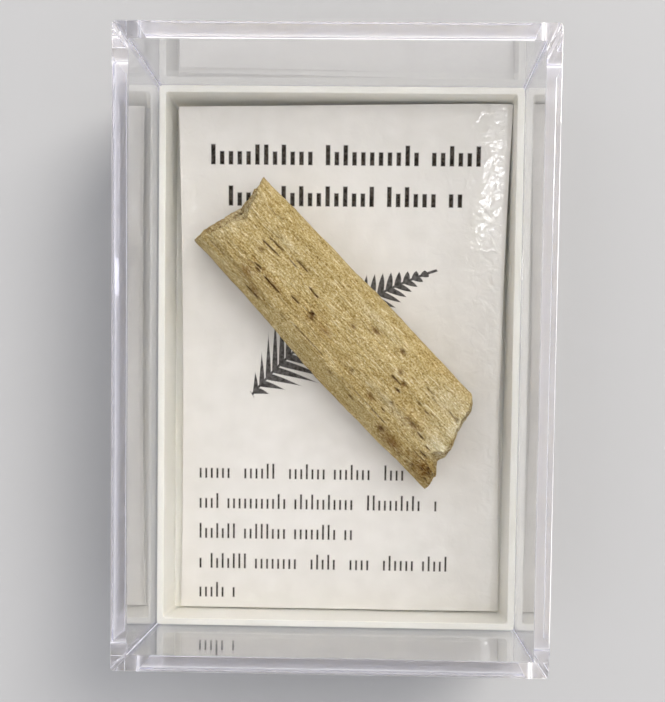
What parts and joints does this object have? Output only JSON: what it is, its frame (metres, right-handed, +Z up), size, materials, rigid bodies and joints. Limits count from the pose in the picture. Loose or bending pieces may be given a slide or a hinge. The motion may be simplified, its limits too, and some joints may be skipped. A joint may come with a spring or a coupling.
{
  "type": "fossil tendon in a display box",
  "caption": "Brown fossil tendon, a fibrous rod broken across at each end, lying on a glossy card in a small white tray under a clear lift-off cover.",
  "frame": {"origin": "middle of the box's underside", "axes": "+X across the box, +Y along it towards the label's heading, +Z up through the cover"},
  "size_m": [0.04, 0.0582, 0.02],
  "materials": {
    "white_tray": "glossy white moulded polystyrene",
    "printed_card": "glossy coated off-white card with dark ink",
    "fossil_bone": "dull tan mineralised bone with long fibres, splits and pits",
    "clear_cover": "clear moulded polystyrene"
  },
  "bodies": {
    "root": {"box_base": "white_tray", "label_card": "printed_card", "tendon": "fossil_bone", "box_lid": "clear_cover"}
  },
  "joints": []
}
